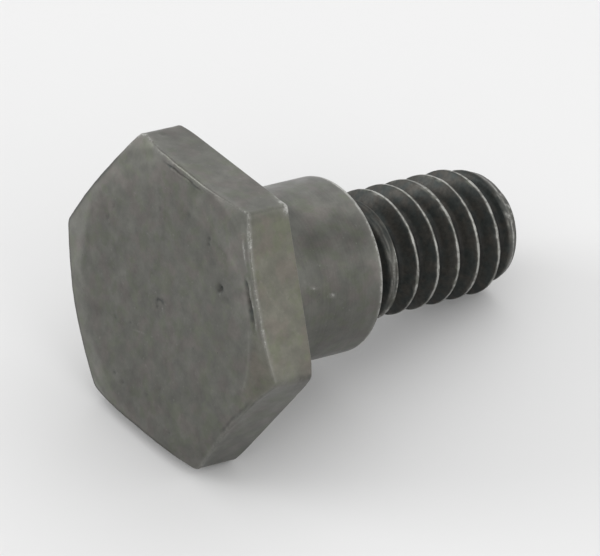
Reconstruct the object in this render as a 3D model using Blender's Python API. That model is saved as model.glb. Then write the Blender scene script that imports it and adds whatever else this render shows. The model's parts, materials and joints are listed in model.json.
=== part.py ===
"""A hex-head shoulder screw, lying as it comes to rest on a flat surface.

The screw is a single piece of steel: a hexagonal head with its corners trimmed by a cone on the face and
by a shallower one on the bearing side, a plain shoulder, a short neck and a coarse right-hand thread with
a chamfered point.
It is modelled along +X, from the middle of the head's face, and then laid down: it leans on the bearing
edge of its lowest head flat and on the lowest crest of its thread.
"""
import math

import bmesh
import bpy
from mathutils import Matrix, Vector

MM = 0.001

# Head
ACROSS_FLATS = 13.9 * MM
HEAD_THICKNESS = 2.65 * MM
FACE_CONE_START = 0.10 * MM         # how far outside the flats the cone on the face starts
FACE_CONE_ANGLE = math.radians(20.5)
BEARING_CONE_START = 0.75 * MM      # how far outside the flats the cone on the bearing side starts
BEARING_CONE_ANGLE = math.radians(17)

# Shoulder
SHOULDER_DIAMETER = 8.5 * MM
SHOULDER_LENGTH = 7.1 * MM
SHOULDER_EDGE = 0.08 * MM           # chamfer on the shoulder's far edge

# Thread, of the unified form: 1/4 inch with 20 threads to the inch, worn and finished a little undersize
THREAD_DIAMETER = 6.2 * MM
THREAD_PITCH = 1.27 * MM
THREAD_LENGTH = 9.75 * MM           # from the shoulder's end face to the point
THREAD_FLANK_ANGLE = math.radians(30)
THREAD_CLOCKING = math.radians(3)   # where round the axis a crest line would leave the shoulder's end
NECK_LENGTH = 0.85 * MM
RUN_IN_ANGLE = math.radians(30)     # the cone on which the first turn grows to its full height
POINT_DIAMETER = 5.2 * MM
POINT_ANGLE = math.radians(20)

# Points round the axis: a multiple of 12, so that they fall on the corners and the middles of the flats
SEGMENTS = 48
FLATS = 6
# Points nearer than this to their neighbour are the same point
SNAP = 0.01 * MM

# Finish
STEEL_COLOUR = (0.125, 0.125, 0.112)
STEEL_ROUGHNESS = 0.48
STEEL_METALLIC = 0.75
SHARP_EDGE_ANGLE = math.radians(12)

# Places along the axis, from the head's face
bearing_face = HEAD_THICKNESS
shoulder_end = bearing_face + SHOULDER_LENGTH
neck_end = shoulder_end + NECK_LENGTH
point = shoulder_end + THREAD_LENGTH

# Distances from the axis
flat_distance = ACROSS_FLATS / 2
shoulder_radius = SHOULDER_DIAMETER / 2
crest_radius = THREAD_DIAMETER / 2
point_radius = POINT_DIAMETER / 2

# The unified thread form: a flat of an eighth of the pitch on the crest and of a quarter in the root
crest_half_width = THREAD_PITCH / 16
root_half_width = THREAD_PITCH / 8
flank_width = THREAD_PITCH / 2 - crest_half_width - root_half_width
root_radius = crest_radius - flank_width / math.tan(THREAD_FLANK_ANGLE)
crest_line_start = shoulder_end - THREAD_PITCH * THREAD_CLOCKING / (2 * math.pi)


def turn_of(step):
    """The part of a full turn at one of the points round the axis."""
    return step / SEGMENTS


def point_at(x, radius, step):
    """The point at a distance along the axis and from it."""
    angle = 2 * math.pi * turn_of(step)
    return Vector((x, radius * math.cos(angle), radius * math.sin(angle)))


def hexagon_radius(step):
    """The distance from the axis to the head's six flats, whose corners start at step 0."""
    side = 2 * math.pi / FLATS
    from_middle = (2 * math.pi * turn_of(step)) % side - side / 2
    return flat_distance / math.cos(from_middle)


def cone_depth(radius, start, angle):
    """How far a cone that starts outside the flats has cut back an end face at a radius."""
    return max(0.0, radius - flat_distance - start) * math.tan(angle)


def face_rim(step):
    """The edge of the head's plane face."""
    return 0.0, min(hexagon_radius(step), flat_distance + FACE_CONE_START)


def face_corner(step):
    """The front edge of the flats, lower at the corners where the cone trims them."""
    radius = hexagon_radius(step)
    return cone_depth(radius, FACE_CONE_START, FACE_CONE_ANGLE), radius


def bearing_corner(step):
    """The back edge of the flats."""
    radius = hexagon_radius(step)
    return bearing_face - cone_depth(radius, BEARING_CONE_START, BEARING_CONE_ANGLE), radius


def bearing_rim(step):
    """The edge of the plane bearing face."""
    return bearing_face, min(hexagon_radius(step), flat_distance + BEARING_CONE_START)


def thread_envelope(x):
    """The radius that the crests reach: a cone out of the neck, the full thread, and the point's chamfer."""
    run_in = root_radius + (x - neck_end) * math.tan(RUN_IN_ANGLE)
    chamfer = point_radius + (point - x) * math.tan(POINT_ANGLE)
    return max(root_radius, min(run_in, crest_radius, chamfer))


def thread_radius(x, step):
    """The thread's surface: its vee form along the helix, cut down to the envelope."""
    phase = ((x - crest_line_start) / THREAD_PITCH - turn_of(step)) % 1.0
    from_crest = min(phase, 1.0 - phase) * THREAD_PITCH
    vee = crest_radius - (from_crest - crest_half_width) / math.tan(THREAD_FLANK_ANGLE)
    return min(max(root_radius, min(vee, crest_radius)), thread_envelope(x))


def add_ring(mesh, place, neighbour=None):
    """Add a ring of points. One that falls on the neighbouring ring's point is that same point."""
    ring = []
    for step in range(SEGMENTS):
        position = point_at(*place(step), step)
        if neighbour and (position - neighbour[step].co).length < SNAP:
            ring.append(neighbour[step])
        else:
            ring.append(mesh.verts.new(position))
    return ring


def add_face(mesh, corners):
    """Add a face, unless shared points have closed it to a line."""
    distinct = list(dict.fromkeys(corners))
    if len(distinct) > 2:
        mesh.faces.new(distinct)


def bridge(mesh, ring, next_ring):
    """Join two rings with a band of faces."""
    for step in range(SEGMENTS):
        following = (step + 1) % SEGMENTS
        add_face(mesh, (ring[step], ring[following], next_ring[following], next_ring[step]))


def close_end(mesh, ring, x):
    """Close a ring with a fan of faces round a point on the axis."""
    centre = mesh.verts.new((x, 0.0, 0.0))
    for step in range(SEGMENTS):
        add_face(mesh, (ring[step], ring[(step + 1) % SEGMENTS], centre))


def add_head(mesh):
    """The hexagonal head. Returns the rim of its bearing face."""
    rim = add_ring(mesh, face_rim)
    close_end(mesh, rim, 0.0)
    front = add_ring(mesh, face_corner, rim)
    bridge(mesh, rim, front)
    back = add_ring(mesh, bearing_corner)
    bridge(mesh, front, back)
    bearing = add_ring(mesh, bearing_rim, back)
    bridge(mesh, back, bearing)
    return bearing


def add_turned_rings(mesh, ring, profile):
    """Turned surfaces: one more ring for each point of the profile. Returns the last ring."""
    for x, radius in profile:
        next_ring = add_ring(mesh, lambda step, x=x, radius=radius: (x, radius))
        bridge(mesh, ring, next_ring)
        ring = next_ring
    return ring


def thread_rows():
    """Where the rows of points that follow the helix lie, in pitches from the crest line."""
    root = 0.5 - root_half_width / THREAD_PITCH
    crest = crest_half_width / THREAD_PITCH
    flank = (root + crest) / 2
    form = (-crest, crest, flank, root, 1 - root, 1 - flank)
    first = math.floor((neck_end - crest_line_start) / THREAD_PITCH) - 2
    last = math.ceil((point - crest_line_start) / THREAD_PITCH) + 2
    return len(form), [turn + place for turn in range(first, last) for place in form]


def add_thread(mesh, neck):
    """The thread, as rows of points along the helix that stop at the neck and at the point.

    The last point of a row is the first point of the row one pitch further on.
    """
    rows_per_turn, rows = thread_rows()
    tip = add_ring(mesh, lambda step: (point, thread_radius(point, step)))
    points = []
    for row in rows:
        line = []
        for step in range(SEGMENTS):
            x = crest_line_start + THREAD_PITCH * (row + turn_of(step))
            if x < neck_end + SNAP:
                line.append(neck[step])
            elif x > point - SNAP:
                line.append(tip[step])
            else:
                line.append(mesh.verts.new(point_at(x, thread_radius(x, step), step)))
        points.append(line)
    for index in range(len(rows) - rows_per_turn - 1):
        line = points[index] + [points[index + rows_per_turn][0]]
        next_line = points[index + 1] + [points[index + 1 + rows_per_turn][0]]
        for step in range(SEGMENTS):
            add_face(mesh, (line[step], line[step + 1], next_line[step + 1], next_line[step]))
    close_end(mesh, tip, point)


def lay_down(mesh):
    """Tilt the screw on to the edge of its lowest flat and its lowest crest, and stand it on the origin."""
    tilt = min(math.atan2(vertex.co.z + flat_distance, vertex.co.x - bearing_face)
               for vertex in mesh.verts if vertex.co.x > bearing_face + SNAP)
    mesh.transform(Matrix.Rotation(tilt, 4, "Y"))
    low = [min(vertex.co[axis] for vertex in mesh.verts) for axis in range(3)]
    high = [max(vertex.co[axis] for vertex in mesh.verts) for axis in range(3)]
    mesh.transform(Matrix.Translation((-(low[0] + high[0]) / 2, -(low[1] + high[1]) / 2, -low[2])))


def make_steel():
    """Blackened steel."""
    steel = bpy.data.materials.new("blackened_steel")
    steel.use_nodes = True
    shader = steel.node_tree.nodes["Principled BSDF"]
    shader.inputs["Base Color"].default_value = (*STEEL_COLOUR, 1.0)
    shader.inputs["Roughness"].default_value = STEEL_ROUGHNESS
    shader.inputs["Metallic"].default_value = STEEL_METALLIC
    steel.diffuse_color = (*STEEL_COLOUR, 1.0)
    return steel


def make_screw():
    """The whole screw, as one closed skin, laid down."""
    skin = bmesh.new()
    bearing = add_head(skin)
    neck = add_turned_rings(skin, bearing, (
        (bearing_face, shoulder_radius),
        (shoulder_end - SHOULDER_EDGE, shoulder_radius),
        (shoulder_end, shoulder_radius - SHOULDER_EDGE),
        (shoulder_end, root_radius),
        (neck_end, root_radius),
    ))
    add_thread(skin, neck)
    beyond_ends = [vertex for vertex in skin.verts if not vertex.link_faces]
    bmesh.ops.delete(skin, geom=beyond_ends, context="VERTS")
    bmesh.ops.recalc_face_normals(skin, faces=skin.faces)
    lay_down(skin)
    mesh = bpy.data.meshes.new("shoulder_screw")
    skin.to_mesh(mesh)
    skin.free()
    mesh.materials.append(make_steel())
    mesh.shade_smooth()
    mesh.set_sharp_from_angle(angle=SHARP_EDGE_ANGLE)
    return bpy.data.objects.new("shoulder_screw", mesh)


def main():
    for old in list(bpy.data.objects):
        bpy.data.objects.remove(old, do_unlink=True)
    bpy.context.scene.collection.objects.link(make_screw())


main()
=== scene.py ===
"""The looks of a blackened hex-head shoulder screw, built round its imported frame.

The screw is one piece of steel, so one finely modelled skin stands for it: the same head, shoulder, neck and
thread as in the solid, with their worn edges, folds, pits and nicks.
The skin is modelled in millimetres in the screw's own frame: X runs from the middle of the head's face along
the axis to the point, Y is level and Z is up from the axis. Angles round the axis start at Y and turn towards
Z, and a direction is such an angle in degrees. The width across flats, the head's thickness and the length
come from the frame. A function that adds a part of the skin takes the ring before it and returns its last.
"""
import json
import math

import bpy
import numpy as np
from mathutils import Matrix, Vector, noise

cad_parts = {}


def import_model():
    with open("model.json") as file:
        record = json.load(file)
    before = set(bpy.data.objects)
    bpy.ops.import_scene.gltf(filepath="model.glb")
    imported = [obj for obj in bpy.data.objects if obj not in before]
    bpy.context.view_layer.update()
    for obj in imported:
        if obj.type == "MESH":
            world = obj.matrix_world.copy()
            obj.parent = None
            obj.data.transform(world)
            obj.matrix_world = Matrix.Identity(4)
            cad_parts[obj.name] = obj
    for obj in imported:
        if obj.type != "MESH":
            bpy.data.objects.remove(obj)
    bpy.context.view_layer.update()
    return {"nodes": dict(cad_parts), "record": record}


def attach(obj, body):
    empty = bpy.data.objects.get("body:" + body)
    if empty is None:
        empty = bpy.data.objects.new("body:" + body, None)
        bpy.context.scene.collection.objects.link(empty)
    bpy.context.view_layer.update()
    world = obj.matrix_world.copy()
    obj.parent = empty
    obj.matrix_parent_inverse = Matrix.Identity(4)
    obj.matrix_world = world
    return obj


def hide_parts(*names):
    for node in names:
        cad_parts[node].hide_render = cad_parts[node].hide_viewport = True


MM = 0.001
FULL_TURN = 2 * math.pi
QUARTER_TURN = math.pi / 2
NODE = "shoulder_screw"

# Head, in millimetres
FLATS = 6
FACE_CONE_START = 0.10      # how far outside the flats the cone on the face starts
FACE_CONE_ANGLE = math.radians(20.5)
FACE_CONE_BEND = 0.03       # how softly the face bends into the cone
FACE_DEPTH = 0.02           # about how far the face lies behind its highest place
RING_BEND = 0.22            # how softly the face starts to fall away
BEARING_CONE_START = 0.75
BEARING_CONE_ANGLE = math.radians(17)
BEARING_CONE_BEND = 0.08
FACE_EDGE_WEAR = 0.4        # how unevenly the face's edge is rounded, as a share
LEAST_FACE_EDGE = 0.03      # the least that it is rounded
EDGE_NOISE_RADIUS = 7.0     # the ring on which that unevenness is read
BACK_EDGE = 0.05            # rounding of the back edge
HEAD_FILLET = 0.12          # in the corner between bearing face and shoulder
CORNER_REACH = 0.09         # how far along a flat its back corners are worn, as a share of it
CORNER_LINE = 0.022         # how wide the worn line on an upright corner is, likewise
BROWN_BAND = (6.2, 6.6)     # the radii between which the face turns brown at one corner

# These change round the axis: each is a row of pairs of a direction and a value.
# Rounding of the upright corners between the flats
CORNER_ROUNDING = (
    (0, 0.38), (52, 0.38), (56, 0.42), (64, 0.42), (68, 0.38), (110, 0.38), (120, 0.25), (130, 0.38),
    (229, 0.38), (233, 0.65), (247, 0.65), (251, 0.38), (360, 0.38),
)
# How far the flats stand out at the face's edge, and how far from the face that has faded
SIDE_BOW = (
    (0, 0.0), (15, 0.08), (30, 0.10), (45, 0.07), (57, 0.05), (60, 0.0), (180, 0.0), (190, -0.12),
    (210, -0.13), (222, -0.06), (236, 0.0), (303, 0.0), (312, 0.05), (322, 0.18), (330, 0.25), (338, 0.20),
    (346, 0.10), (357, 0.0), (360, 0.0),
)
SIDE_BOW_LENGTH = 1.7
# How much more than elsewhere the back edge is rounded at the corners
BACK_CORNER_WEAR = ((0, 0.08), (60, 0.06), (120, -0.02), (180, 0.06), (240, 0.08), (360, 0.08))
# How far the pressed disc on the face reaches
DISC_EDGE = (
    (0, 6.12), (22, 5.99), (41, 5.75), (63, 5.55), (78, 5.40), (90, 5.18), (113, 5.22), (124, 5.60),
    (137, 6.00), (165, 6.10), (180, 6.25), (200, 6.42), (222, 6.45), (273, 6.60), (284, 6.55), (305, 6.20),
    (330, 6.15), (360, 6.12),
)
# Where the face starts to fall away towards its corners, and how steeply, in degrees
RING_EDGE = (
    (0, 6.22), (20, 6.42), (65, 6.45), (90, 6.80), (120, 6.95), (148, 6.55), (165, 6.25), (179, 6.28),
    (200, 6.50), (222, 6.50), (273, 6.67), (284, 6.65), (305, 6.28), (330, 6.26), (360, 6.22),
)
RING_FALL = (
    (0, 10), (30, 7), (45, 7), (72, 5), (95, 1.5), (150, 1.5), (170, 6), (182, 8), (200, 4), (225, 5),
    (242, 8), (260, 3), (285, 6), (300, 9), (315, 6), (345, 6), (360, 10),
)
# How much paler or darker than the disc the face is just outside it, and beyond the ring, where it is partly
# painted light and shade
BAND_TONE = (
    (0, 0.10), (45, 0.12), (70, 0.12), (90, 0.10), (130, 0.16), (155, 0.11), (175, 0.03), (205, 0.06),
    (225, 0.04), (262, 0.02), (290, 0.14), (325, 0.08), (360, 0.10),
)
CORNER_TONE_AND_LIGHT = (
    (0, 0.30), (22, 0.24), (60, 0.16), (95, 0.0), (150, 0.0), (176, 0.04), (205, 0.04), (240, -0.12),
    (268, 0.0), (300, 0.14), (330, 0.14), (360, 0.30),
)
# How widely the face's edge is rounded
FACE_EDGE = (
    (0, 0.11), (50, 0.11), (58, 0.08), (68, 0.06), (76, 0.10), (92, 0.16), (104, 0.10), (118, 0.06),
    (140, 0.08), (165, 0.05), (178, 0.08), (188, 0.11), (214, 0.12), (228, 0.08), (236, 0.07), (290, 0.07),
    (300, 0.11), (360, 0.11),
)
# How wide the worn line along the face's edge is
EDGE_LINE_WIDTH = ((0, 0.08), (60, 0.08), (66, 0.14), (98, 0.15), (112, 0.09), (118, 0.07), (360, 0.07))
# How brightly the face's edge and the shoulder's end edge are worn; near its top the shoulder's edge also has
# a painted highlight
FACE_EDGE_BRIGHTNESS = (
    (0, 0.20), (45, 0.22), (58, 0.95), (68, 0.70), (74, 0.45), (114, 0.38), (119, 0.90), (130, 0.80),
    (138, 0.52), (150, 0.62), (158, 0.85), (165, 0.76), (172, 0.42), (182, 0.32), (222, 0.36), (231, 0.60),
    (241, 0.45), (252, 0.20), (360, 0.20),
)
SHOULDER_EDGE_WEAR_AND_GLINT = (
    (0, 1.3), (85, 2.0), (106, 2.2), (115, 1.6), (125, 1.2), (145, 1.2), (156, 1.7), (170, 1.45), (200, 1.3),
    (360, 1.3),
)
# How much paler than the rest the sides are along the face's edge
EDGE_BAND_TONE = ((0, 0.0), (62, 0.0), (70, 0.16), (105, 0.12), (116, 0.0), (360, 0.0))
# How much paler than the rest, and how olive, the head's sides are
SIDE_TONE = (
    (0, 0.0), (60, -0.10), (70, -0.10), (84, 0.0), (118, 0.0), (123, 0.18), (150, 0.20), (176, 0.24),
    (184, 0.02), (360, 0.0),
)
SIDE_OLIVE = ((0, 0.1), (118, 0.1), (123, 1.0), (176, 1.0), (184, 0.1), (360, 0.1))

# Places that stand out: each is a direction and its reach to each side, in degrees
BROWN_CORNER = (178, 16)    # the face is browner here, towards its edge
PAINTED_RIM_GLINT = (176, 14)        # a painted glint: the pressed disc's rim is a pale line here
ROUGH_CORNER = (181, 3.5)   # the upright corner is rough and dark here, towards the back
SCUFFED_SIDE = (132, 26)    # the thread's last turn is scuffed here
WORN_AND_LIT_RUN_IN = (163, 40)   # its first turn is worn, with painted light, brightest here

# Shoulder
SHOULDER_RADIUS = 4.25
SHOULDER_LENGTH = 7.1
SHOULDER_EDGE = 0.12
END_FACE_STEP = 0.1         # how far inside that edge the end face's first ring lies

# Thread
CREST_RADIUS = 3.1
PITCH = 1.27
FLANK_ANGLE = math.radians(30)
CLOCKING = math.radians(3)  # how far the thread is turned round the axis
NECK_LENGTH = 0.85
ROOT_FILLET = 0.15          # in the corner between end face and neck
RUN_IN_ANGLE = math.radians(30)
POINT_RADIUS = 2.6
POINT_ANGLE = math.radians(20)
POINT_EDGE = 0.06
CREST_HALF_WIDTH = PITCH / 16
ROOT_HALF_WIDTH = PITCH / 8
FLANK_WIDTH = PITCH / 2 - CREST_HALF_WIDTH - ROOT_HALF_WIDTH
ROOT_RADIUS = CREST_RADIUS - FLANK_WIDTH / math.tan(FLANK_ANGLE)
ROOT_BEND = 0.10            # how softly the flanks bend into the root
CREST_BEND = 0.012          # and into the crest
THREAD_WOBBLE = 0.008       # how far the thread's surface wanders

# Folds just inside the face's edge: the direction of the flat that each follows, its distance from the axis,
# where it starts and ends along the flat, its width, its depth, and how dark its painted shadow is
FOLDS = (
    (90, 6.58, -2.00, 1.15, 0.065, 0.06, 1.2),
    (150, 6.40, -1.25, 1.50, 0.080, 0.13, 1.3),
    (210, 6.66, -2.40, 1.00, 0.070, 0.03, 0.60),
)
# Raised lips along the folds and beyond: direction, distance, start, end, width, height and how worn each is
LIPS = (
    (90, 6.80, -3.60, 1.80, 0.15, 0.040, 0.50),
    (150, 6.64, -3.60, 1.85, 0.07, 0.040, 0.80),
)

# Pits in the face: y, z, radius and depth
PITS = (
    (-3.50, 2.80, 0.15, 0.14), (-3.46, 2.60, 0.11, 0.12), (-4.10, 2.48, 0.14, 0.03),
    (-2.13, 4.66, 0.11, 0.05), (-2.17, 4.36, 0.09, 0.05), (4.67, 2.62, 0.09, 0.04),
    (4.88, 1.96, 0.12, 0.03), (1.49, 4.26, 0.09, 0.03), (2.03, -2.22, 0.09, 0.04),
    (3.12, -2.51, 0.10, 0.03), (2.46, -5.22, 0.12, 0.04), (1.79, -5.38, 0.12, 0.04),
    (-0.84, -4.19, 0.10, 0.03), (0.02, -5.02, 0.09, 0.03), (-1.95, -5.97, 0.10, 0.04),
    (-0.44, 5.01, 0.13, 0.03),
)
# A hooked mark in the middle of the face: y, z, radius, width, depth and the directions that it runs between
HOOK_MARK = (0.28, -0.24, 0.27, 0.085, 0.012, -60, 150)
HOOK_FADE = 15              # over how many degrees to each side its ends fade
# Bright specks and short scratches on the face: y, z, half length, direction and width
SCRATCHES = (
    (3.05, -0.61, 0.10, 40, 0.05), (1.31, -2.30, 0.50, 165, 0.035),
    (-1.13, 0.88, 0.12, 80, 0.045), (0.05, -0.35, 0.16, 60, 0.05),
    (4.10, 0.20, 0.20, 110, 0.035),
)

# Soft pale and dark places on the face: y, z, size and how much paler or darker
FACE_SMUDGES = (
    (4.6, 3.9, 0.80, 0.28), (3.6, 4.9, 0.70, 0.24), (2.5, 5.8, 0.60, 0.26), (-5.4, 2.9, 0.50, 0.28),
    (-4.4, 4.2, 0.50, 0.28), (-5.8, 1.7, 0.40, 0.12), (-3.1, -4.6, 0.50, 0.18), (-4.5, -2.9, 0.50, 0.14),
    (1.2, -2.7, 0.45, 0.14), (-1.8, 2.2, 0.60, 0.13), (-1.3, 5.9, 0.50, 0.13), (1.2, -4.8, 0.60, -0.28),
    (4.3, -2.7, 0.65, -0.15), (-3.2, 6.1, 0.50, -0.15), (-3.6, 2.5, 0.50, -0.17), (0.4, 5.3, 0.50, -0.14),
    (4.4, 0.4, 0.65, -0.14), (0.2, -0.3, 0.45, -0.10), (-1.1, -2.6, 0.55, -0.11), (-5.6, -1.5, 0.50, -0.10),
    (-1.0, -5.0, 0.55, -0.11),
)

# Marks on the head's sides: x, direction, length, width, depth and brightness
HEAD_MARKS = (
    (1.10, 63.3, 0.10, 0.10, 0.07, 0.0), (2.50, 118.2, 0.16, 0.26, -0.02, 1.1),
    (2.62, 120.8, 0.26, 0.30, -0.05, 1.5), (2.58, 115.0, 0.10, 0.40, 0.00, 0.8),
)
# The same on the shoulder and the thread
TURNED_MARKS = (
    (5.61, 155.4, 0.10, 0.08, 0.0, 1.3), (6.64, 163.1, 0.10, 0.08, 0.0, 1.3),
    (15.23, 117.6, 0.10, 0.12, 0.05, 1.4), (17.90, 155.1, 0.10, 0.10, 0.06, 1.4),
    (12.72, 118.8, 0.09, 0.35, 0.03, 0.9),
)

# A burr on one corner's back edge: direction, reach to each side in degrees, and height
BURR = (120.5, 2.4, 0.07)

# Soft pale and dark places on the shoulder, partly smudges and partly painted highlight and reflection bands:
# x, direction, length, width and how much paler or darker
SMUDGES_AND_SHEEN = (
    (7.3, 105.0, 1.10, 0.60, 0.38), (9.2, 107.0, 0.55, 0.70, 0.50),
    (5.7, 101.0, 0.60, 0.60, -0.26), (6.0, 119.0, 0.75, 0.90, -0.22),
    (8.3, 133.0, 1.20, 1.10, -0.26), (6.3, 134.0, 0.80, 0.80, -0.18),
    (7.6, 188.0, 1.60, 1.30, -0.09), (9.3, 152.0, 0.50, 1.00, 0.36),
)

# How far apart the noise of two seeds is read
SEED_STEP = (7.3, 3.1, 5.7)

# How finely the skin is divided
COLUMNS = 288               # points round the axis, a multiple of 12
CROWDING = 0.50             # how much closer they stand at the head's corners
DISC_RINGS = 48
DISC_RINGS_REACH = 5.1      # how far from the axis the face's even rings go
BORDER_RINGS = 30
EDGE_RINGS = 4
SIDE_RINGS = 16
BEARING_RINGS = 10
FILLET_RINGS = 4
SHOULDER_RINGS = 34
END_FACE_RINGS = 6
NECK_RINGS = 4
POINT_EDGE_RINGS = 3
POINT_RINGS = 10
# How far from the crest's middle the thread's lines of points stand, in pitches
THREAD_LINES = (0.0, 0.035, 0.054, 0.066, 0.082, 0.120, 0.180, 0.250, 0.320, 0.390, 0.450)
SNAP = 0.008                # points of the thread nearer than this to one of its ends join it


def screw_frame(frame):
    """The screw's own frame as a matrix in metres, its width across flats, head thickness and length."""
    mounts = {mount["name"]: mount for mount in frame["record"]["mounts"]}
    axis = -Vector(mounts["head_face"]["axis"]).normalized()
    level = Vector((0, 1, 0))
    up = axis.cross(level)
    corners = [vertex.co for vertex in frame["nodes"][NODE].data.vertices]
    spans = []
    for direction in (axis, level, up):
        places = [corner.dot(direction) for corner in corners]
        spans.append((min(places), max(places)))
    (start, end), (left, right), (bottom, top) = spans
    centre = axis * start + level * (left + right) / 2 + up * (bottom + top) / 2
    rotation = Matrix((axis, level, up)).transposed().to_4x4()
    bearing = Vector(mounts["bearing_face"]["pos_m"]).dot(axis) - start
    return Matrix.Translation(centre) @ rotation, (top - bottom) / MM, bearing / MM, (end - start) / MM


def step(value, low, high):
    """0 below low, 1 above high and smooth between them."""
    share = np.clip((value - low) / (high - low), 0, 1)
    return share * share * (3 - 2 * share)


def soft_ramp(value, softness):
    """The value where it is above 0, and 0 below, with the bend rounded off."""
    return (value + np.sqrt(value * value + softness * softness)) / 2


def bump(distance, width):
    """1 at distance 0, falling smoothly to 0 at about twice the width."""
    return np.exp(-(distance / width) ** 2)


def ripple(points, size, seed):
    """Smooth noise from about -1 to 1 with lumps of the given size, at an array of points."""
    shift = Vector([seed * part for part in SEED_STEP])
    return np.array([noise.noise(Vector(point) / size + shift) for point in points])


def by_direction(degrees, pairs):
    """A value that changes round the axis, from pairs of a direction and a value."""
    directions, values = zip(*pairs)
    return np.interp(degrees % 360, directions, values)


def near(degrees, place):
    """1 at a place round the axis, given as a direction and a reach, and falling smoothly to 0 beside it."""
    direction, reach = place
    return bump(degrees % 360 - direction, reach)


def swing(angle, direction):
    """The angle from a direction, at most half a turn to either side."""
    return (angle - math.radians(direction) + math.pi) % FULL_TURN - math.pi


def shares(count):
    """Equal steps from 0 to 1, without the 0."""
    return [index / count for index in range(1, count + 1)]


def column_angles():
    """Angles round the axis, closer together at the head's corners."""
    share = np.arange(COLUMNS) / COLUMNS * FLATS
    return (share - CROWDING * np.sin(FULL_TURN * share) / FULL_TURN) * FULL_TURN / FLATS


ANGLES = column_angles()
DEGREES = np.degrees(ANGLES)
TURNS = ANGLES / FULL_TURN
# How far each column is from the nearest of the head's corners, as a share of a flat
FROM_CORNER = (ANGLES * FLATS / FULL_TURN + 0.5) % 1.0 - 0.5


def around(radius, x=0.0):
    """Points of a ring, as an array."""
    radius = np.broadcast_to(radius, ANGLES.shape)
    x = np.broadcast_to(x, ANGLES.shape)
    return np.stack((x, radius * np.cos(ANGLES), radius * np.sin(ANGLES)), axis=1)


class Skin:
    """A closed skin, built ring by ring, with its wear, its oily dirt and painted shade, its paleness and
    olive at each point.
    """

    def __init__(self):
        self.points = []
        self.looks = {"worn": [], "sooty": [], "pale": [], "olive": []}
        self.faces = []
        self.count = 0

    def add(self, points, worn=0.0, sooty=0.0, pale=0.0, olive=0.0):
        """Add points and return their numbers."""
        self.points.append(points)
        for name, value in (("worn", worn), ("sooty", sooty), ("pale", pale), ("olive", olive)):
            self.looks[name].append(np.broadcast_to(value, len(points)))
        self.count += len(points)
        return np.arange(self.count - len(points), self.count)

    def ring(self, previous, points, worn=0.0, sooty=0.0, pale=0.0, olive=0.0):
        """Add a ring of points, join it to the ring before and return its numbers."""
        numbers = self.add(points, worn, sooty, pale, olive)
        self.close(previous, numbers)
        return numbers

    def face(self, *corners):
        """Add a face, unless shared points have closed it to a line."""
        distinct = tuple(dict.fromkeys(corners))
        if len(distinct) > 2:
            self.faces.append(distinct)

    def bridge(self, line, next_line):
        """Join two lines of points with a band of faces."""
        for place in range(len(line) - 1):
            self.face(line[place], line[place + 1], next_line[place + 1], next_line[place])

    def close(self, ring, next_ring):
        """Join two rings all the way round."""
        self.bridge(np.append(ring, ring[0]), np.append(next_ring, next_ring[0]))


def smudges_and_sheen(points):
    """How much paler or darker than the rest points on the shoulder are: smudges, and painted highlight and
    reflection bands.
    """
    angle = np.arctan2(points[:, 2], points[:, 1])
    raggedness = 0.25 * ripple(points, 0.5, 91)
    pale = np.zeros(len(points))
    for x, direction, length, width, tone in SMUDGES_AND_SHEEN:
        away = np.hypot((points[:, 0] - x) / length, swing(angle, direction) * SHOULDER_RADIUS / width)
        pale += tone * bump(away + raggedness, 1.0)
    return pale


def marked(points, worn, marks=TURNED_MARKS):
    """Press the marks into points on the sides, and brighten the worn ones."""
    radius = np.hypot(points[:, 1], points[:, 2])
    angle = np.arctan2(points[:, 2], points[:, 1])
    for x, direction, length, width, depth, bright in marks:
        away = np.hypot((points[:, 0] - x) / length, swing(angle, direction) * radius / width)
        mark = bump(away, 1.0)
        radius = radius - depth * mark
        worn = np.maximum(worn, bright * mark)
    points[:, 1] = radius * np.cos(angle)
    points[:, 2] = radius * np.sin(angle)
    return points, worn


def outline(flat_distance, inset, rounding):
    """The distance from the axis to the head's sides, moved in by the inset, with its corners rounded."""
    side = FULL_TURN / FLATS
    from_middle = ANGLES % side - side / 2
    from_corner = side / 2 - np.abs(from_middle)
    distance = flat_distance - inset
    rounding = np.maximum(rounding - inset, 0.01)
    centre = (distance - rounding) / math.cos(side / 2)
    meets = np.arctan2(rounding * math.sin(side / 2), centre + rounding * math.cos(side / 2))
    half_chord = np.sqrt(np.maximum(rounding ** 2 - (centre * np.sin(from_corner)) ** 2, 0))
    arc = centre * np.cos(from_corner) + half_chord
    return np.where(from_corner < meets, arc, distance / np.cos(from_middle))


def along_flat(y, z, degrees, start, end):
    """How far out places on the face lie towards a flat, and a share that fades at the ends of a stretch."""
    turn = math.radians(degrees)
    out = y * math.cos(turn) + z * math.sin(turn)
    along = z * math.cos(turn) - y * math.sin(turn)
    reach = (end - start) / 2
    return out, 1 - step(np.abs(along - (start + end) / 2), reach * 0.55, reach)


def press_folds(points, depth, worn, sooty):
    """Press the folds into the face and raise the lips beside them."""
    y, z = points[:, 1], points[:, 2]
    wander = 0.05 * ripple(points, 0.9, 5) + 0.07 * ripple(points, 0.35, 14)
    jagged = ripple(points, 0.30, 6)
    for direction, distance, start, end, width, deep, dark in FOLDS:
        out, fade = along_flat(y, z, direction, start, end)
        groove = bump(out - distance - wander, width * (1 + 0.5 * jagged)) * fade
        depth = depth + deep * groove * (0.85 + 0.5 * jagged)
        # painted shadow along the fold, over its pressed groove
        sooty = np.maximum(sooty, np.minimum(1.0, dark * (0.9 + 0.7 * jagged) * groove ** 0.6))
    uneven = np.maximum(0.75 + 1.0 * ripple(points, 0.50, 7) + 0.9 * ripple(points, 0.25, 16), 0)
    for direction, distance, start, end, width, height, bright in LIPS:
        out, fade = along_flat(y, z, direction, start, end)
        lip = bump(out - distance - wander, width) * fade
        depth = depth - height * lip * uneven
        worn = np.maximum(worn, bright * lip * uneven)
    return depth, worn, sooty


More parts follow.
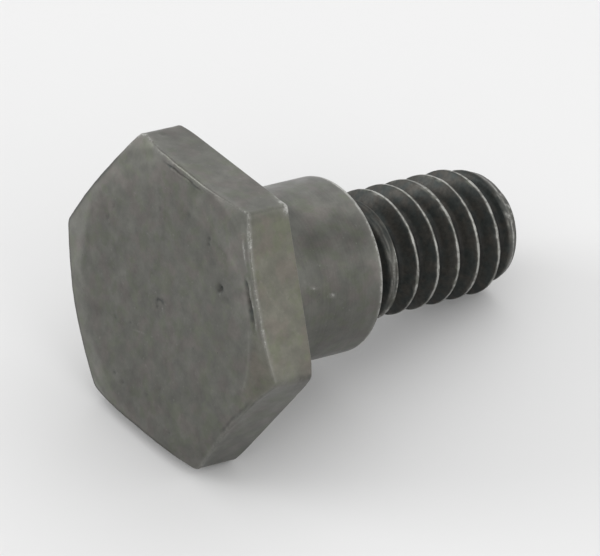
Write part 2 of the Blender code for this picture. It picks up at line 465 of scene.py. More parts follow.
def press_pits(points, depth, worn, sooty):
    """Press the pits and the hooked mark into the face, and scratch it."""
    y, z = points[:, 1], points[:, 2]
    stretch = 1 + 0.4 * ripple(points, 0.25, 8)
    for pit_y, pit_z, size, deep in PITS:
        pit = bump(np.hypot(y - pit_y, z - pit_z) * stretch, size)
        depth = depth + deep * pit
        sooty = np.maximum(sooty, np.minimum(pit * min(1.4, 0.25 + deep / 0.12), 1.0))
    mark_y, mark_z, size, width, deep, low, high = HOOK_MARK
    turn = np.degrees(np.arctan2(z - mark_z, y - mark_y))
    begun = step(turn, low - HOOK_FADE, low + HOOK_FADE)
    ended = step(turn, high - HOOK_FADE, high + HOOK_FADE)
    bend = 0.10 * ripple(points, 0.3, 9)
    mark = bump(np.hypot(y - mark_y, z - mark_z) - size - bend, width) * (begun * (1 - ended))
    depth = depth + deep * mark
    sooty = np.maximum(sooty, 0.75 * mark * (1 + 0.8 * ripple(points, 0.25, 10)))
    for place_y, place_z, length, direction, width in SCRATCHES:
        turn = math.radians(direction)
        run = (y - place_y) * math.cos(turn) + (z - place_z) * math.sin(turn)
        off = (z - place_z) * math.cos(turn) - (y - place_y) * math.sin(turn)
        worn = np.maximum(worn, 0.40 * bump(run, length) * bump(off, width))
    return depth, worn, sooty


def face_tone(points, degrees, off_disc, off_ring):
    """How much paler or darker than the disc the face is at points, with painted light and shade at its
    corners and a painted glint on the disc's rim.
    """
    y, z = points[:, 1], points[:, 2]
    uneven = 0.12 * ripple(points, 1.0, 12)
    pale = step(off_disc + uneven, -0.12, 0.16) * by_direction(degrees, BAND_TONE)
    raggedness = 0.30 * ripple(points, 0.6, 15)
    for place_y, place_z, size, tone in FACE_SMUDGES:
        pale += tone * bump(np.hypot(y - place_y, z - place_z) / size + raggedness, 1.0)
    # partly painted light and shade: paler from about 300 round to 60 degrees, darker near 240
    pale += step(off_ring, -0.10, 0.30) * by_direction(degrees, CORNER_TONE_AND_LIGHT)
    # a painted glint along the disc's rim at one side
    return pale + 0.28 * (bump(off_disc - 0.02, 0.07) * near(degrees, PAINTED_RIM_GLINT))


def face_form(y, z, flat_distance):
    """How far the head's face lies behind its highest place, how worn it is, how dark with painted shade and
    dirt, and how pale.
    """
    points = np.stack((np.zeros_like(y), y, z), axis=1)
    radius = np.hypot(y, z)
    degrees = np.degrees(np.arctan2(z, y))
    off_disc = radius - by_direction(degrees, DISC_EDGE)
    off_ring = radius - by_direction(degrees, RING_EDGE)
    fall = soft_ramp(off_ring, RING_BEND) * np.tan(np.radians(by_direction(degrees, RING_FALL)))
    cone = (radius - flat_distance - FACE_CONE_START) * math.tan(FACE_CONE_ANGLE)
    depth = FACE_DEPTH + fall + soft_ramp(cone - fall, FACE_CONE_BEND)
    on_disc = 1 - step(off_disc, -0.30, 0.05)
    depth += 0.010 * ripple(points, 3.1, 1) + 0.004 * ripple(points, 1.1, 2)
    depth += on_disc * (0.0020 * ripple(points, 0.45, 3) + 0.0012 * ripple(points, 0.22, 4))
    depth, worn, sooty = press_folds(points, depth, np.zeros_like(y), np.zeros_like(y))
    depth, worn, sooty = press_pits(points, depth, worn, sooty)
    pale = face_tone(points, degrees, off_disc, off_ring)
    return np.maximum(depth, 0.0), worn, np.clip(sooty, 0, 1), pale


def edge_wear(points, strength, seed):
    """How bright an edge is worn along its length: uneven, with short gaps where it is weak."""
    broad = ripple(points, 1.6, seed)
    fine = ripple(points, 0.35, seed + 1)
    return np.maximum(strength * (0.85 + 0.45 * broad + 0.45 * fine), 0)


class Head:
    """The head's sizes and looks for each column of points round the axis."""

    def __init__(self, flat_distance, thickness):
        self.flat_distance = flat_distance
        self.thickness = thickness
        self.rounding = by_direction(DEGREES, CORNER_ROUNDING)
        self.bow = by_direction(DEGREES, SIDE_BOW)
        places = around(EDGE_NOISE_RADIUS)
        edge = by_direction(DEGREES, FACE_EDGE)
        edge = edge * (1 + FACE_EDGE_WEAR * ripple(places, 0.9, 11)) + 0.03 * ripple(places, 0.35, 13)
        self.edge = np.maximum(edge, LEAST_FACE_EDGE)
        self.rim = self.outline(self.edge - self.bow)
        brightness = by_direction(DEGREES, FACE_EDGE_BRIGHTNESS)
        self.strength = edge_wear(around(self.rim), brightness, 21)
        # Painted shade: a dark line along the face's edge where that edge is least worn, from about 250
        # degrees round to 45
        self.shade = 0.85 * (1 - step(brightness, 0.20, 0.30))
        self.tone = by_direction(DEGREES, SIDE_TONE)
        self.olive = by_direction(DEGREES, SIDE_OLIVE)
        self.sides = self.outline(0.0)
        self.back_edge = BACK_EDGE + by_direction(DEGREES, BACK_CORNER_WEAR) * bump(FROM_CORNER, CORNER_REACH)
        direction, reach, height = BURR
        self.burr = height * bump(DEGREES - direction, reach)

    def outline(self, inset):
        """The distance from the axis to the sides, moved in by the inset."""
        return outline(self.flat_distance, inset, self.rounding)

    def bearing_cone(self, radius):
        """How far the bearing face falls away at a distance from the axis."""
        beyond = radius - self.flat_distance - BEARING_CONE_START
        return soft_ramp(beyond, BEARING_CONE_BEND) * math.tan(BEARING_CONE_ANGLE)


def add_face(skin, head):
    """The head's face, out to where its edge starts to turn. Its depth there is returned too."""
    centre_depth = face_form(np.zeros(1), np.zeros(1), head.flat_distance)[0]
    hub = skin.add(np.array([[centre_depth[0], 0.0, 0.0]]))
    reach = DISC_RINGS_REACH
    rings = [np.full(ANGLES.shape, reach * (index + 1) / DISC_RINGS) for index in range(DISC_RINGS)]
    rings += [reach + (head.rim - reach) * (index + 1) / BORDER_RINGS for index in range(BORDER_RINGS)]
    line_width = by_direction(DEGREES, EDGE_LINE_WIDTH)
    brown = near(DEGREES, BROWN_CORNER)
    previous = np.repeat(hub, COLUMNS)
    for radius in rings:
        y, z = radius * np.cos(ANGLES), radius * np.sin(ANGLES)
        depth, worn, sooty, pale = face_form(y, z, head.flat_distance)
        worn = np.maximum(worn, 0.75 * head.strength * bump(head.rim - radius, line_width))
        # the painted shade along the face's edge
        sooty = np.maximum(sooty, head.shade * bump(head.rim - radius, 0.06))
        points = np.stack((depth, y, z), axis=1)
        previous = skin.ring(previous, points, worn, sooty, pale, brown * step(radius, *BROWN_BAND))
    return previous, depth


def add_face_edge(skin, previous, head, front):
    """The rounded edge from the face to the sides."""
    for share in shares(EDGE_RINGS):
        roll = share * QUARTER_TURN
        radius = head.outline(head.edge * (1 - math.sin(roll)) - head.bow)
        points = around(radius, front + head.edge * (1 - math.cos(roll)))
        worn = head.strength * bump(np.maximum(head.edge * roll - 0.12, 0), 0.10)
        points, worn = marked(points, worn, HEAD_MARKS)
        # the painted shade along the face's edge runs on over its rounding
        previous = skin.ring(previous, points, worn, head.shade, head.tone, head.olive)
    return previous


def add_sides(skin, previous, head, start, end):
    """The flats and the upright corners between them. How rough they end is returned too."""
    corner_line = bump(FROM_CORNER, CORNER_LINE)
    rough_corner = near(DEGREES, ROUGH_CORNER)
    band_tone = by_direction(DEGREES, EDGE_BAND_TONE)
    for share in shares(SIDE_RINGS):
        x = start + (end - start) * share
        radius = head.sides + head.bow * (1 - step(x - start, 0.0, SIDE_BOW_LENGTH))
        points = around(radius, x)
        near_edge = bump(np.minimum(x - start, end - x), 0.1)
        waves = 0.008 * (1 + ripple(points, 2.3, 31)) * (1 - near_edge)
        uneven = waves + 0.003 * (1 + ripple(points, 0.6, 32))
        worn = 0.30 * corner_line * (0.8 + ripple(points, 0.5, 33))
        points, worn = marked(around(radius - uneven, x), worn, HEAD_MARKS)
        edge_line = 0.75 * head.strength * bump(x - start, 0.09) * bump(np.maximum(head.edge - 0.09, 0), 0.05)
        worn = np.maximum(np.maximum(worn, edge_line), 0)
        rough = rough_corner * step(share, 0.45, 0.75) * (0.5 + 0.8 * ripple(points, 0.3, 34))
        rough = np.clip(rough, 0, 0.6)
        band = band_tone * bump(x - start, 0.30) * (1 + 0.8 * ripple(points, 0.5, 35))
        previous = skin.ring(previous, points, worn, rough, head.tone + band, head.olive)
    return previous, rough


def add_back_edge(skin, previous, head, end, rough):
    """The rounded edge from the sides to the bearing face."""
    strength = edge_wear(around(head.sides, head.thickness), 0.33, 41)
    for share in shares(EDGE_RINGS):
        roll = share * QUARTER_TURN
        radius = head.outline(head.back_edge * (1 - math.cos(roll)))
        points = around(radius, end + (head.back_edge + head.burr) * math.sin(roll))
        points, worn = marked(points, strength, HEAD_MARKS)
        previous = skin.ring(previous, points, worn, 0.5 * rough, head.tone, head.olive)
    return previous


def add_bearing_face(skin, previous, head):
    """The face under the head, in to the fillet at the shoulder."""
    outer = head.outline(head.back_edge)
    inner = SHOULDER_RADIUS + HEAD_FILLET
    for index in range(1, BEARING_RINGS + 1):
        radius = outer + (inner - outer) * index / BEARING_RINGS
        x = head.thickness - head.bearing_cone(radius) + head.burr * bump(outer - radius, 0.15)
        # darker towards the shoulder, as painted shade in the corner under the head
        previous = skin.ring(previous, around(radius, x), sooty=0.3 * step(-radius, -5.0, -inner))
    return previous


def add_head(skin, flat_distance, thickness):
    """The hexagonal head, from its face to where it meets the shoulder."""
    head = Head(flat_distance, thickness)
    ring, front = add_face(skin, head)
    ring = add_face_edge(skin, ring, head, front)
    end = thickness - head.bearing_cone(head.sides) - head.back_edge
    ring, rough = add_sides(skin, ring, head, front + head.edge, end)
    ring = add_back_edge(skin, ring, head, end, rough)
    return add_bearing_face(skin, ring, head)


def add_turned(skin, previous, places, worn=0.0, sooty=0.0):
    """Turned surfaces: a ring for each x and radius."""
    for x, radius in places:
        points, ring_worn = marked(around(radius, x), np.broadcast_to(worn, ANGLES.shape))
        previous = skin.ring(previous, points, ring_worn, sooty)
    return previous


def quarter(x, radius, size, start, end):
    """Places on a quarter of a circle round the given centre, for a fillet or a rounded edge."""
    turns = [start + (end - start) * index / FILLET_RINGS for index in range(1, FILLET_RINGS + 1)]
    return [(x + size * math.cos(turn), radius + size * math.sin(turn)) for turn in turns]


def add_shoulder(skin, previous, thickness):
    """The plain shoulder, from the fillet under the head to its rounded end edge."""
    start = thickness + HEAD_FILLET
    end = thickness + SHOULDER_LENGTH
    fillet = quarter(start, SHOULDER_RADIUS + HEAD_FILLET, HEAD_FILLET, -2 * QUARTER_TURN, -QUARTER_TURN)
    # painted shade in the fillet under the head
    previous = add_turned(skin, previous, fillet, sooty=0.35)
    # worn brightness of the end edge, with a painted highlight near its top, about 85 to 115 degrees
    brightness = by_direction(DEGREES, SHOULDER_EDGE_WEAR_AND_GLINT)
    edge_strength = edge_wear(around(SHOULDER_RADIUS, end), brightness, 61)
    for share in shares(SHOULDER_RINGS):
        x = start + (end - SHOULDER_EDGE - start) * math.sin(share * QUARTER_TURN)
        points = around(SHOULDER_RADIUS, x)
        uneven = 0.004 * (1 + ripple(points, 2.0, 51)) + 0.002 * (1 + ripple(points, 0.5, 52))
        points, worn = marked(around(SHOULDER_RADIUS - uneven, x), np.zeros(COLUMNS))
        worn = np.maximum(worn, 0.8 * edge_strength * bump(end - SHOULDER_EDGE - x, 0.09))
        pale = smudges_and_sheen(points) + 0.15 * bump(end - x, 0.30)
        # painted shade on the shoulder next to the head
        previous = skin.ring(previous, points, worn, 0.35 * bump(x - start, 0.5), pale)
    edge_radius = SHOULDER_RADIUS - SHOULDER_EDGE
    rounded = quarter(end - SHOULDER_EDGE, edge_radius, SHOULDER_EDGE, QUARTER_TURN, 0.0)
    return add_turned(skin, previous, rounded, worn=edge_strength)


def add_neck(skin, previous, shoulder_end):
    """The shoulder's end face, the fillet in its corner and the neck."""
    outer = SHOULDER_RADIUS - SHOULDER_EDGE - END_FACE_STEP
    inner = ROOT_RADIUS + ROOT_FILLET
    start = shoulder_end + ROOT_FILLET
    radii = [outer + (inner - outer) * index / END_FACE_RINGS for index in range(END_FACE_RINGS + 1)]
    face = [(shoulder_end, radius) for radius in radii]
    face += quarter(start, inner, ROOT_FILLET, -2 * QUARTER_TURN, -QUARTER_TURN)
    # oily dirt and painted shade darken this recess between shoulder and thread
    previous = add_turned(skin, previous, face, sooty=0.9)
    length = NECK_LENGTH - ROOT_FILLET
    neck = [(start + length * index / NECK_RINGS, ROOT_RADIUS) for index in range(1, NECK_RINGS + 1)]
    return add_turned(skin, previous, neck, sooty=1.0)


def thread_looks(points, beyond_crest, above, envelope, past_neck, past_point):
    """How worn the thread is at points, how dark with oily dirt and painted shade, and how pale.

    above is how far the full form of the thread stands above the envelope that cuts it, and past_neck and
    past_point are how far each point is past the neck and past the tip.
    """
    full = step(envelope, CREST_RADIUS - 0.10, CREST_RADIUS - 0.01)
    near_point = step(past_point, -1.4, -0.9)
    reach = 0.09 * ripple(points, 0.6, 75) + 0.05 * ripple(points, 0.2, 76)

    # The crests of the full turns
    wear = 1.15 + 0.60 * ripple(points, 0.9, 73) + 0.95 * ripple(points, 0.22, 74)
    wear = wear - 0.25 * step(DEGREES, 180, 200)
    crest = step(above + reach, 0.01, 0.10) * np.clip(wear, 0.1, 2)

    # The flat tops of the first and last turns, which are cut lower
    flat = step(above, -0.04, 0.03) * step(past_neck, 0.15, 0.40)
    flat_edge = bump(above - 0.03, 0.05) * (0.6 + 0.8 * step(beyond_crest, -0.05, 0.05))
    spread = np.stack((beyond_crest / 0.08, ANGLES * CREST_RADIUS / 0.7, points[:, 0] / 3), axis=1)
    streaks = np.clip(0.30 + 2.0 * ripple(spread, 1.0, 77), 0, 1)
    scuffs = step(ripple(points, 0.25, 78), 0.0, 0.35) * near(DEGREES, SCUFFED_SIDE)
    from_crest = np.abs(beyond_crest)
    middle = bump(from_crest, 0.075)
    # wear with painted light on the first turn's brighter side
    lit_side = 0.15 + 0.85 * near(DEGREES, WORN_AND_LIT_RUN_IN)
    first_turn = (0.55 * flat_edge + 0.10 * middle + 0.50 * streaks) * lit_side
    last_turn = (1.00 * middle + 0.25 * flat_edge) * (0.5 + 0.7 * streaks) + 0.80 * scuffs
    first_clean = (0.10 + 0.60 * streaks) * lit_side + 0.30 * flat_edge * lit_side
    last_clean = 0.25 + 0.45 * streaks + 0.40 * scuffs
    clean = flat * (first_clean * (1 - near_point) + last_clean * near_point) * (1 - full)

    worn = crest * full + flat * (first_turn * (1 - near_point) + last_turn * near_point) * (1 - full)
    # oily dirt with painted shade everywhere between the crests
    sooty = 1 - np.maximum(clean, step(above + reach, -0.04, 0.03) * full)
    # Painted shade: the roots beside the crests are darkened, fading in from 105 degrees and full from 140
    # degrees on
    pale = -0.72 * step(from_crest, 0.40, 0.52) * step(DEGREES, 105, 140)
    return worn, np.clip(sooty, 0, 1), pale


def thread_points(x, crest_line, neck_end, point):
    """Points of the thread at one x for each column, and how worn, how dark with oily dirt and painted shade,
    and how pale they are.
    """
    phase = (x - crest_line) / PITCH - TURNS + 0.015 * ripple(around(CREST_RADIUS, x), 0.7, 70)
    beyond_crest = (phase - np.round(phase)) * PITCH
    vee = CREST_RADIUS - (np.abs(beyond_crest) - CREST_HALF_WIDTH) / math.tan(FLANK_ANGLE)
    form = ROOT_RADIUS + soft_ramp(np.minimum(vee, CREST_RADIUS + 0.05) - ROOT_RADIUS, ROOT_BEND)
    run_in = ROOT_RADIUS + (x - neck_end) * math.tan(RUN_IN_ANGLE)
    chamfer = POINT_RADIUS + (point - x) * math.tan(POINT_ANGLE)
    envelope = np.minimum(np.minimum(run_in, CREST_RADIUS), chamfer)
    radius = np.maximum(envelope - soft_ramp(envelope - form, CREST_BEND), ROOT_RADIUS)
    points = around(radius, x)
    worn, sooty, pale = thread_looks(points, beyond_crest, vee - envelope, envelope, x - neck_end, x - point)
    wobble = THREAD_WOBBLE * ripple(points, 0.8, 71) + 0.005 * ripple(points, 0.3, 72)
    radius = np.minimum(radius + wobble - THREAD_WOBBLE, envelope)
    points, worn = marked(around(radius, x), worn)
    return points, worn, sooty, pale


def add_thread(skin, neck, shoulder_end, point):
    """The thread, as lines of points along the helix that stop at the neck and at the point.

    The last point of a line is the first point of the line one pitch further on.
    """
    neck_end = shoulder_end + NECK_LENGTH
    crest_line = shoulder_end - PITCH * CLOCKING / FULL_TURN
    form = [-place for place in reversed(THREAD_LINES[1:])] + list(THREAD_LINES) + [0.5]
    first = math.floor((neck_end - crest_line) / PITCH) - 2
    last = math.ceil((point - crest_line) / PITCH) + 2
    rows = [turn + place for turn in range(first, last) for place in form]

    tip_points, *tip_looks = thread_points(np.full(COLUMNS, point - POINT_EDGE), crest_line, neck_end, point)
    tip = skin.add(tip_points, *tip_looks)
    lines = []
    for row in rows:
        x = crest_line + PITCH * (row + TURNS)
        line = np.where(x < neck_end + SNAP, neck, tip)
        inside = (x >= neck_end + SNAP) & (x <= point - POINT_EDGE - SNAP)
        if inside.any():
            made = thread_points(x, crest_line, neck_end, point)
            line[inside] = skin.add(*(values[inside] for values in made))
        lines.append(line)
    for index in range(len(rows) - len(form) - 1):
        line = np.append(lines[index], lines[index + len(form)][0])
        next_line = np.append(lines[index + 1], lines[index + 1 + len(form)][0])
        skin.bridge(line, next_line)
    return tip, np.hypot(tip_points[:, 1], tip_points[:, 2])


def add_point(skin, tip, tip_radius, point):
    """The end face of the thread, with a rounded edge."""
    previous = tip
    for share in shares(POINT_EDGE_RINGS):
        roll = share * QUARTER_TURN
        radius = tip_radius - POINT_EDGE * (1 - math.cos(roll))
        points = around(radius, point - POINT_EDGE + POINT_EDGE * math.sin(roll))
        previous = skin.ring(previous, points, edge_wear(points, 0.5, 81), 0.4)
    outer = tip_radius - POINT_EDGE
    for index in range(1, POINT_RINGS):
        radius = outer * (1 - index / POINT_RINGS)
        dip = 0.02 + 0.012 * ripple(around(radius), 0.9, 82) + 0.02 * step(-radius, -0.6, -0.1)
        points = around(radius, point - dip * step(outer - radius, 0.0, 0.3))
        previous = skin.ring(previous, points, sooty=0.35)
    hub = skin.add(np.array([[point - 0.04, 0.0, 0.0]]), sooty=0.35)
    skin.close(previous, np.repeat(hub, COLUMNS))


def make_skin(place, across_flats, thickness, length):
    """The whole skin as an object in the row frame."""
    skin = Skin()
    shoulder_end = thickness + SHOULDER_LENGTH
    ring = add_head(skin, across_flats / 2, thickness)
    ring = add_shoulder(skin, ring, thickness)
    neck = add_neck(skin, ring, shoulder_end)
    tip, tip_radius = add_thread(skin, neck, shoulder_end, length)
    add_point(skin, tip, tip_radius, length)
    points = np.concatenate(skin.points)
    mesh = bpy.data.meshes.new("screw_skin")
    faces = [tuple(int(number) for number in face) for face in skin.faces]
    mesh.from_pydata((points * MM).tolist(), [], faces)
    looks = {name: np.concatenate(values) for name, values in skin.looks.items()}
    looks["along"] = points[:, 0]
    for name, values in looks.items():
        mesh.attributes.new(name, "FLOAT", "POINT").data.foreach_set("value", values.astype(np.float32))
    mesh.transform(place)
    mesh.shade_smooth()
    mesh.validate()
    skin_object = bpy.data.objects.new("screw_skin", mesh)
    bpy.context.scene.collection.objects.link(skin_object)
    return skin_object


class Shader:
    """A short way to write a material's nodes."""

    def __init__(self, name):
        self.material = bpy.data.materials.new(name)
        self.material.use_nodes = True
        self.tree = self.material.node_tree
        self.principled = self.tree.nodes["Principled BSDF"]

    def node(self, kind, inputs=None, **settings):
        """Add a node. Inputs are by name or number, and are values or other nodes' outputs."""
        made = self.tree.nodes.new(kind)
        for name, value in settings.items():
            setattr(made, name, value)
        for name, value in (inputs or {}).items():
            self.feed(made.inputs[name], value)
        return made

    def feed(self, socket, value):
        """Set a socket or link an output to it."""
        if isinstance(value, bpy.types.NodeSocket):
            self.tree.links.new(value, socket)
        else:
            socket.default_value = value

    def math(self, operation, *values, clamp=False):
        """A calculation on numbers."""
        inputs = dict(enumerate(values))
        return self.node("ShaderNodeMath", inputs, operation=operation, use_clamp=clamp).outputs[0]

    def mix(self, share, first, second, blend="MIX"):
        """A mix of two colours."""
        made = self.node("ShaderNodeMix", data_type="RGBA", blend_type=blend)
        self.feed(made.inputs[0], share)
        self.feed(made.inputs[6], first)
        self.feed(made.inputs[7], second)
        return made.outputs[2]

    def multiply(self, first, strength):
        """A colour made brighter or darker."""
        grey = self.node("ShaderNodeCombineColor", {0: strength, 1: strength, 2: strength}).outputs[0]
        return self.mix(1.0, first, grey, blend="MULTIPLY")

    def noise(self, scale, detail=2.0, vector=None, roughness=0.5):
        """Noise with about this many lumps to a millimetre."""
        inputs = {"Vector": vector or self.place, "Scale": scale, "Detail": detail, "Roughness": roughness}
        return self.node("ShaderNodeTexNoise", inputs).outputs["Fac"]

    def ramp(self, value, low, high):
        """0 below low, 1 above high."""
        inputs = {"Value": value, "From Min": low, "From Max": high}
        return self.node("ShaderNodeMapRange", inputs, interpolation_type="SMOOTHSTEP").outputs[0]

    def attribute(self, name):
        """A value that the mesh holds at each point."""
        return self.node("ShaderNodeAttribute", attribute_name=name).outputs["Fac"]


def colour(red, green, blue):
    """A colour in linear light, as a socket takes it."""
    return (red, green, blue, 1.0)


OXIDE = colour(0.101, 0.102, 0.089)
PALE_OXIDE = colour(0.119, 0.119, 0.106)
DARK_BLOTCH = colour(0.087, 0.087, 0.080)
REDDISH = colour(0.118, 0.103, 0.097)
GREENISH = colour(0.098, 0.107, 0.080)
PALE_SPECK = colour(0.19, 0.19, 0.175)
DARK_SPECK = colour(0.045, 0.045, 0.042)
OLIVE_TINT = colour(1.02, 1.0, 0.92)
DARK_GRIME_AND_SHADE = colour(0.034, 0.039, 0.037)
PALE_GRIME_AND_SHADE = colour(0.051, 0.048, 0.042)
BURNISHED = colour(0.205, 0.203, 0.188)
BARE = colour(0.335, 0.335, 0.315)
FLOOR = colour(0.78, 0.78, 0.78)
WHITE = colour(1.0, 1.0, 1.0)


def mottled_base(steel, pale, contrast):
    """Olive grey in clouds and blotches, with reddish and greenish places, fine grain and specks."""
    clouds = steel.ramp(steel.noise(0.35, 3.0), 0.38, 0.62)
    blotches = steel.ramp(steel.noise(1.3, 4.0, roughness=0.6), 0.33, 0.68)
    red_cast = steel.ramp(steel.noise(1.00, 3.0), 0.46, 0.62)
    green_cast = steel.ramp(steel.noise(1.20, 3.0, roughness=0.6), 0.48, 0.64)
    base = steel.mix(clouds, OXIDE, PALE_OXIDE)
    base = steel.mix(steel.math("MULTIPLY", blotches, 0.55), base, DARK_BLOTCH)
    base = steel.mix(steel.math("MULTIPLY", red_cast, 0.45), base, REDDISH)
    base = steel.mix(steel.math("MULTIPLY", green_cast, 0.60), base, GREENISH)
    mottle = steel.math("MULTIPLY_ADD", steel.math("SUBTRACT", steel.noise(1.5, 3.0), 0.5), contrast, 1.0)
    grain = steel.math("MULTIPLY_ADD", steel.noise(6.5, 2.0, roughness=0.6), 0.22, 0.89)
    strength = steel.math("MULTIPLY", mottle, grain)
    strength = steel.math("MULTIPLY", strength, steel.math("ADD", pale, 1.0))
    base = steel.multiply(base, strength)
    pale_specks = steel.ramp(steel.noise(5.5, 2.0), 0.67, 0.76)
    dark_specks = steel.ramp(steel.noise(4.3, 2.0, roughness=0.6), 0.30, 0.22)
    base = steel.mix(steel.math("MULTIPLY", pale_specks, 0.30), base, PALE_SPECK)
    return steel.mix(steel.math("MULTIPLY", dark_specks, 0.45), base, DARK_SPECK), blotches


def grimy_and_shaded(steel, base, sooty, pale):
    """The base colour under oily dirt and painted shade, where the mesh holds them."""
    grime_and_shade_colour = steel.mix(steel.ramp(steel.noise(1.6, 4.0), 0.35, 0.65), DARK_GRIME_AND_SHADE, PALE_GRIME_AND_SHADE)
    speckle = steel.math("MULTIPLY_ADD", steel.noise(5.0, 4.0, roughness=0.7), 1.5, 0.25)
    grime_and_shade_colour = steel.multiply(grime_and_shade_colour, steel.math("MULTIPLY", steel.math("ADD", pale, 1.0), speckle))
    return steel.mix(sooty, base, grime_and_shade_colour)


def worn_bright(steel, base, worn):
    """The base colour rubbed bright where it is worn, and how bare the metal is there."""
    breakup = steel.noise(7.5, 4.0, roughness=0.65)
    bare = steel.math("ADD", worn, steel.math("MULTIPLY", steel.math("SUBTRACT", breakup, 0.5), 1.8))
    bare = steel.ramp(bare, 0.55, 1.20)
    burnish = steel.math("MULTIPLY", worn, steel.math("MULTIPLY_ADD", breakup, 2.6, -0.45), clamp=True)
    base = steel.mix(burnish, base, BURNISHED)
    return steel.mix(bare, base, BARE), bare


def steel_material(thickness):
    """Blackened steel: mottled olive grey, dark and oily in the thread with painted shade there, worn bright
    on its edges.
    """
    steel = Shader("blackened_steel")
    coordinates = steel.node("ShaderNodeTexCoord").outputs["Object"]
    in_millimetres = steel.node("ShaderNodeVectorMath", {0: coordinates, 3: 1 / MM}, operation="SCALE")
    steel.place = in_millimetres.outputs[0]
    worn = steel.attribute("worn")
    sooty = steel.attribute("sooty")
    along = steel.attribute("along")
    turned_place = steel.node("ShaderNodeCombineXYZ", {0: along}).outputs[0]
    turning = steel.noise(9.0, 3.0, vector=turned_place, roughness=0.7)
    shoulder_end = thickness + SHOULDER_LENGTH
    past_head = steel.ramp(along, thickness + 0.05, thickness + 0.25)
    before_thread = steel.ramp(along, shoulder_end + 0.05, shoulder_end - 0.15)
    on_shoulder = steel.math("MULTIPLY", past_head, before_thread)
    bands = steel.math("SUBTRACT", turning, 0.5)
    bands = steel.math("MULTIPLY", bands, steel.math("MULTIPLY", on_shoulder, 0.38))
    off_face = steel.ramp(along, 0.2, 0.5)
    # The clouds are stronger on the face
    contrast = steel.math("MULTIPLY_ADD", off_face, -0.18, 0.66)
    pale = steel.attribute("pale")
    base, blotches = mottled_base(steel, steel.math("ADD", pale, bands), contrast)
    base = steel.mix(steel.attribute("olive"), base, OLIVE_TINT, blend="MULTIPLY")
    base = grimy_and_shaded(steel, base, sooty, pale)
    base, bare = worn_bright(steel, base, worn)

    roughness = steel.math("MULTIPLY_ADD", blotches, 0.08, 0.33)
    roughness = steel.math("MULTIPLY_ADD", bare, -0.06, roughness)
    roughness = steel.math("MULTIPLY_ADD", sooty, 0.08, roughness)

    grain = steel.noise(12.0, 4.0, roughness=0.6)
    relief = steel.math("MULTIPLY_ADD", steel.math("MULTIPLY", turning, on_shoulder), 0.5, grain)
    dented = steel.math("MULTIPLY", steel.math("MINIMUM", worn, 1.0), steel.noise(5.5, 2.0))
    relief = steel.math("MULTIPLY_ADD", dented, 8.0, relief)
    bumped = steel.node("ShaderNodeBump", {"Strength": 0.35, "Distance": 0.006 * MM, "Height": relief})

    steel.feed(steel.principled.inputs["Base Color"], base)
    steel.feed(steel.principled.inputs["Roughness"], roughness)
    steel.feed(steel.principled.inputs["Normal"], bumped.outputs[0])
    steel.principled.inputs["Metallic"].default_value = 0.65
    return steel.material


def floor_material():
    """A plain pale surface."""
    pale = Shader("pale_floor")
    pale.principled.inputs["Base Color"].default_value = FLOOR
    pale.principled.inputs["Roughness"].default_value = 0.9
    pale.principled.inputs["Specular IOR Level"].default_value = 0.2
    return pale.material


def make_floor():
    """A wide plain floor, in metres."""
    half = 1.5
    mesh = bpy.data.meshes.new("floor")
    corners = [(-half, -half, 0), (half, -half, 0), (half, half, 0), (-half, half, 0)]
    mesh.from_pydata(corners, [], [(0, 1, 2, 3)])
    mesh.materials.append(floor_material())
    floor = bpy.data.objects.new("floor", mesh)
    bpy.context.scene.collection.objects.link(floor)


def aim(item, place, target, roll=0.0):
    """Put a light or a camera at a place and turn it to a target."""
    item.location = place
    turned = (Vector(target) - Vector(place)).to_track_quat("-Z", "Y").to_matrix()
    item.rotation_euler = (turned @ Matrix.Rotation(roll, 3, "Z")).to_euler()
    bpy.context.scene.collection.objects.link(item)


# Soft boxes: name, azimuth in degrees from +X towards +Y, height in degrees, and watts
SOFT_BOXES = (
    ("left_box", 135, 22, 3.05),
    ("front_box", 270, 22, 1.35),
    ("right_box", 315, 22, 0.72),
    ("back_box", 45, 22, 0.40),
    ("high_right_box", 0, 50, 0.48),
    ("high_back_box", 45, 50, 0.55),
)
SOFT_BOX_DISTANCE = 1.0     # in metres, as the size is
SOFT_BOX_SIZE = 0.55
ROOM_BRIGHTNESS = 0.89


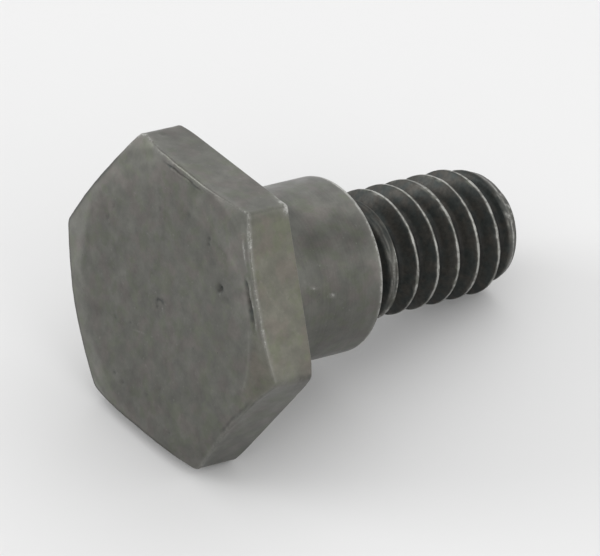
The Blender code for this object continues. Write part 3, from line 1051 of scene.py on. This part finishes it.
def make_lights():
    """A tent of soft light: soft boxes round the screw, and a pale room."""
    for name, azimuth, height, watts in SOFT_BOXES:
        turn, rise = math.radians(azimuth), math.radians(height)
        light = bpy.data.lights.new(name, "AREA")
        light.size = SOFT_BOX_SIZE
        light.energy = watts
        place = Vector((math.cos(turn) * math.cos(rise), math.sin(turn) * math.cos(rise), math.sin(rise)))
        aim(bpy.data.objects.new(name, light), place * SOFT_BOX_DISTANCE, (0, 0, 0))
    world = bpy.data.worlds.new("room")
    world.use_nodes = True
    background = world.node_tree.nodes["Background"]
    background.inputs["Color"].default_value = WHITE
    background.inputs["Strength"].default_value = ROOM_BRIGHTNESS
    bpy.context.scene.world = world
    bpy.context.scene.view_settings.view_transform = "Standard"


# The photograph's view, in degrees and millimetres
CAMERA_AZIMUTH = -37.21
CAMERA_ELEVATION = 38.26
CAMERA_ROLL = -1.17
CAMERA_TARGET = (-1.38, -0.54, 5.47)
CAMERA_DISTANCE = 333.0
CAMERA_LENS = 425.2
CAMERA_SENSOR = 36.0


def make_camera():
    """The camera: to the left of the head and above it, with a long lens."""
    azimuth, elevation = math.radians(CAMERA_AZIMUTH), math.radians(CAMERA_ELEVATION)
    target = Vector(CAMERA_TARGET) * MM
    level = math.cos(elevation)
    back = Vector((math.sin(azimuth) * level, -math.cos(azimuth) * level, math.sin(elevation)))
    camera = bpy.data.cameras.new("camera")
    camera.sensor_width = CAMERA_SENSOR
    camera.lens = CAMERA_LENS
    camera.clip_start = 0.01
    camera.clip_end = 10.0
    camera_object = bpy.data.objects.new("camera", camera)
    aim(camera_object, target + back * (CAMERA_DISTANCE * MM), target, math.radians(CAMERA_ROLL))
    bpy.context.scene.camera = camera_object


def main():
    """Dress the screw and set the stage."""
    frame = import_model()
    place, across_flats, thickness, length = screw_frame(frame)
    skin = make_skin(place, across_flats, thickness, length)
    skin.data.materials.append(steel_material(thickness))
    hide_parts(NODE)
    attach(skin, "root")
    make_floor()
    make_lights()
    make_camera()


main()
